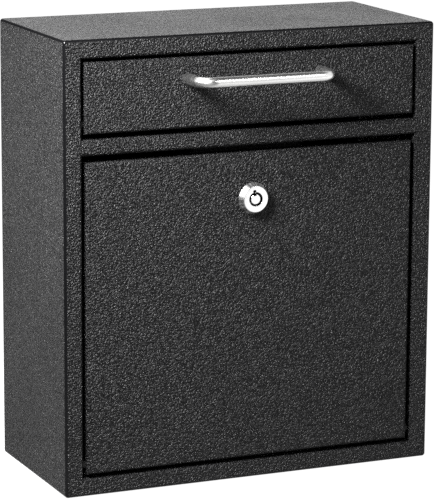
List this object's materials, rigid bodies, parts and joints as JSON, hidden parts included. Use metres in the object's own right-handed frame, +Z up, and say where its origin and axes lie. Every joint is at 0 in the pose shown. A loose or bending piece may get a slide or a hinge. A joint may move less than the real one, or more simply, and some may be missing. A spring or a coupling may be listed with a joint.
{
  "type": "wall mounted mailbox",
  "caption": "Wall-mounted folded steel mailbox: a tilt-out mail hopper with a wire pull above a drop-down door with a round-key cam lock.",
  "frame": {"origin": "centre of the flat back panel's rear face, in the plane of the wall", "axes": "+Z up, along the height; +Y into the wall, so the front with the hopper and door faces -Y; +X to the right as seen from the front"},
  "size_m": [0.268, 0.1488, 0.305],
  "materials": {
    "black_coat": "satin black textured powder coat on 1.2 mm steel sheet",
    "satin_steel": "stainless steel brushed along the bar",
    "bright_chrome": "polished chrome plate",
    "zinc_plate": "dull bright zinc plate on steel",
    "black_nylon": "matt black nylon"
  },
  "bodies": {
    "case": {"case_shell": "black_coat", "back_panel": "black_coat", "strike_angle": "black_coat", "hopper_stop_left": "black_coat", "hopper_stop_right": "black_coat", "hopper_rod": "zinc_plate", "hopper_rod_cap_left": "zinc_plate", "hopper_rod_cap_right": "zinc_plate", "hopper_spacer_left": "black_nylon", "hopper_spacer_right": "black_nylon", "door_rod": "zinc_plate", "door_rod_cap_left": "zinc_plate", "door_rod_cap_right": "zinc_plate", "door_spacer_left": "black_nylon", "door_spacer_right": "black_nylon"},
    "hopper": {"hopper_panel": "black_coat", "hopper_scoop": "black_coat", "handle": "satin_steel", "handle_screw_left": "zinc_plate", "handle_screw_right": "zinc_plate", "handle_washer_left": "zinc_plate", "handle_washer_right": "zinc_plate"},
    "door": {"door_panel": "black_coat", "lock_housing": "bright_chrome", "lock_washer": "zinc_plate", "lock_nut": "zinc_plate"},
    "lock_core": {"lock_plug": "bright_chrome", "lock_pin_1": "zinc_plate", "lock_pin_2": "zinc_plate", "lock_pin_3": "zinc_plate", "lock_pin_4": "zinc_plate", "lock_pin_5": "zinc_plate", "lock_pin_6": "zinc_plate", "lock_pin_7": "zinc_plate", "lock_cam": "zinc_plate", "cam_washer": "zinc_plate", "cam_screw": "zinc_plate"}
  },
  "joints": [
    {"name": "hopper_hinge", "type": "hinge", "parent": "case", "child": "hopper", "pos_m": [0, -0.1145, 0.0968], "axis": [1, 0, 0], "range_deg": [0, 50]},
    {"name": "door_hinge", "type": "hinge", "parent": "case", "child": "door", "pos_m": [0, -0.1145, -0.1314], "axis": [1, 0, 0], "range_deg": [0, 105]},
    {"name": "lock_turn", "type": "hinge", "parent": "door", "child": "lock_core", "pos_m": [0, -0.121, 0.0405], "axis": [0, 1, 0], "range_deg": [0, 90]}
  ]
}
